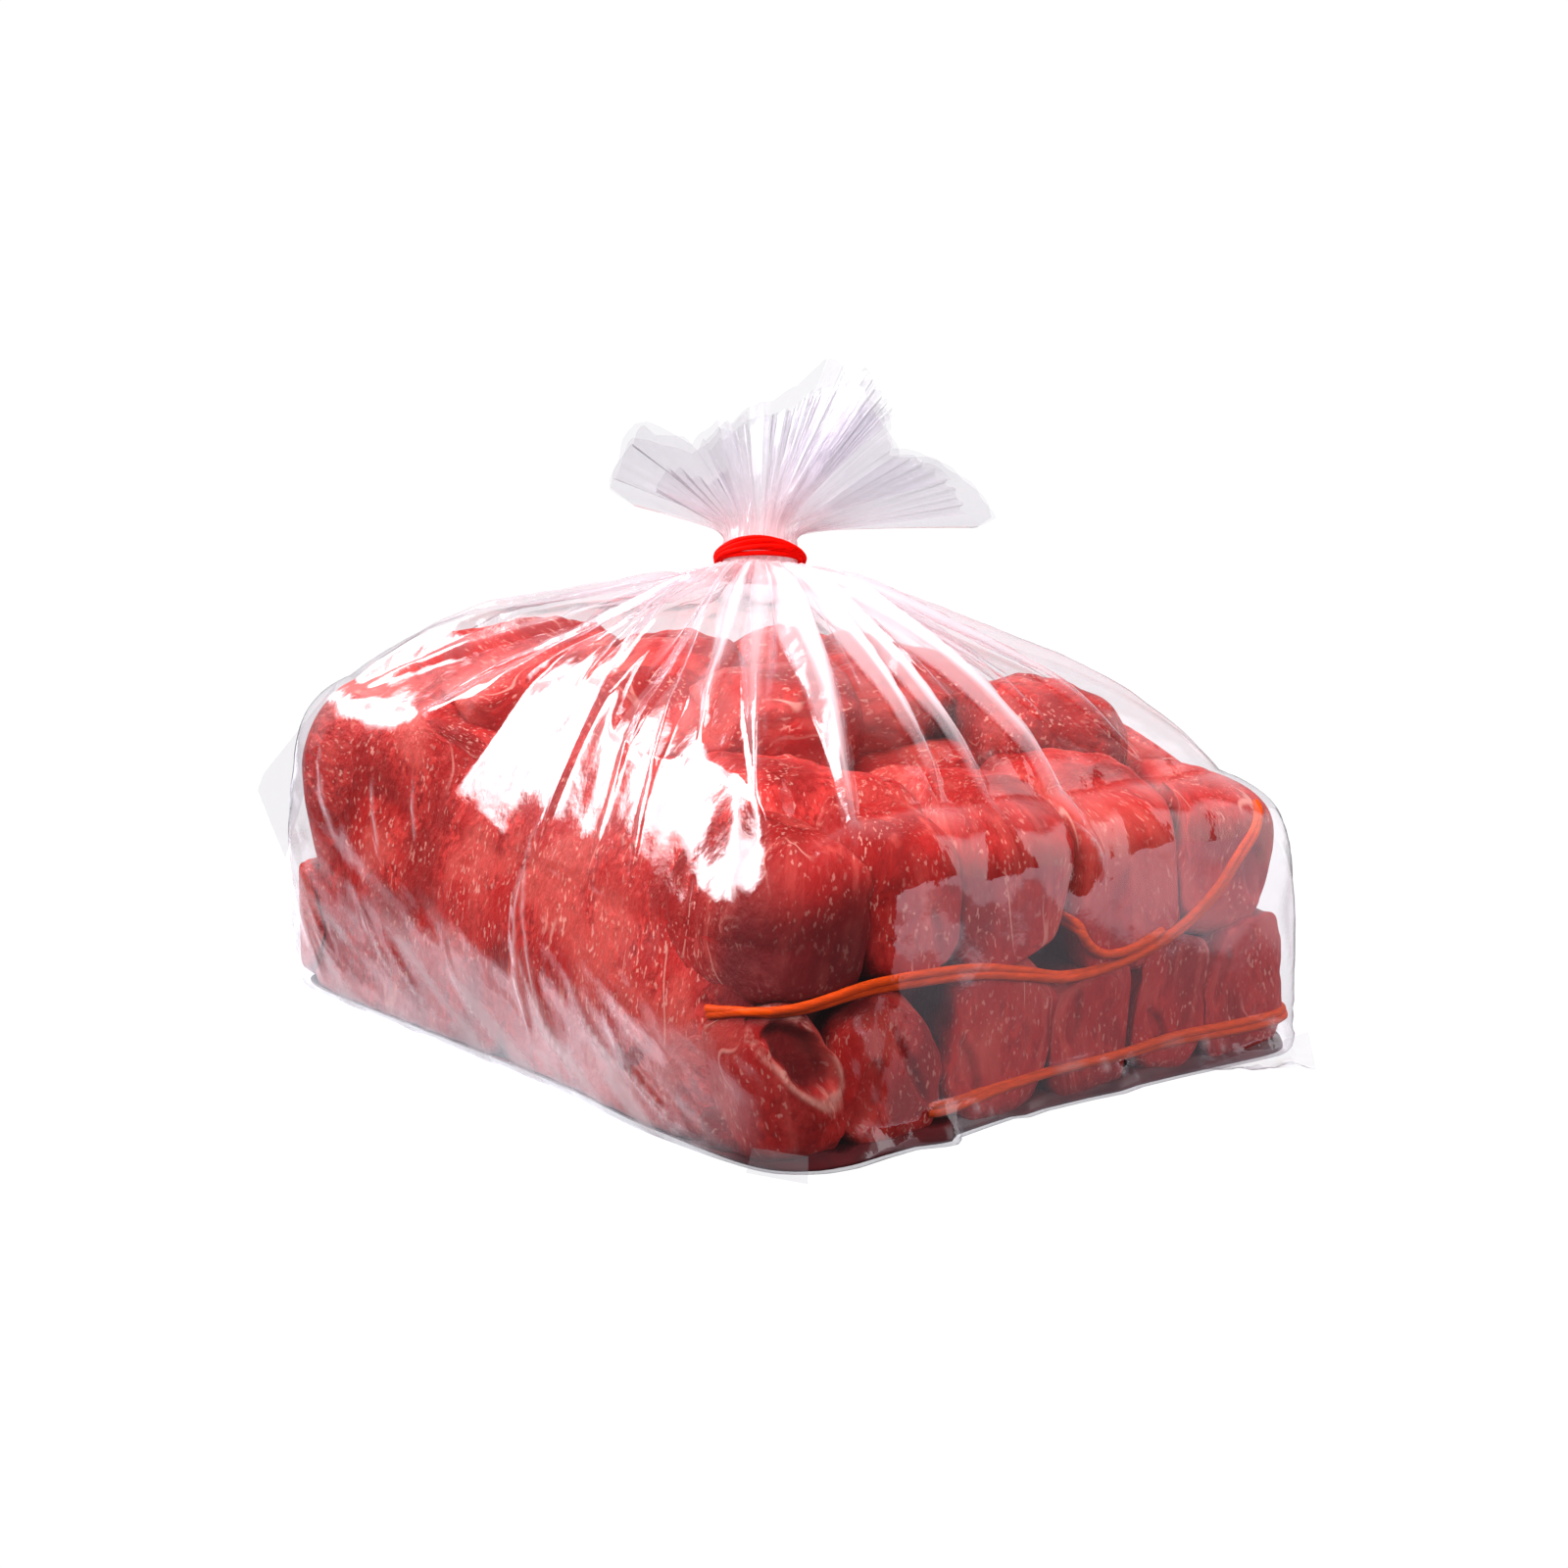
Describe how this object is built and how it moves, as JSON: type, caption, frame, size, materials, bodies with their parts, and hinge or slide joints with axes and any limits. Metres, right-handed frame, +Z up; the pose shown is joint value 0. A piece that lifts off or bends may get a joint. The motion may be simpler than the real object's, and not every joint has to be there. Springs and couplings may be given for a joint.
{
  "type": "bag of beef",
  "caption": "Clear film bag packed with chunks and slabs of raw beef, gathered to a neck and closed with a red elastic tie.",
  "frame": {"origin": "middle of the flat base, on the surface the bag rests on", "axes": "+Z up; +X across the face with the rows of chunks, which looks along -Y; +Y along the long face with the slab, which looks along -X"},
  "size_m": [0.1876, 0.2428, 0.1806],
  "materials": {
    "film": "thin clear glossy food film",
    "tie": "satin red elastic",
    "beef": "moist raw beef with grain and pale marbling",
    "orange_elastic": "smooth orange elastic"
  },
  "bodies": {
    "root": {"bag": "film", "neck_tie": "tie"}
  },
  "joints": []
}
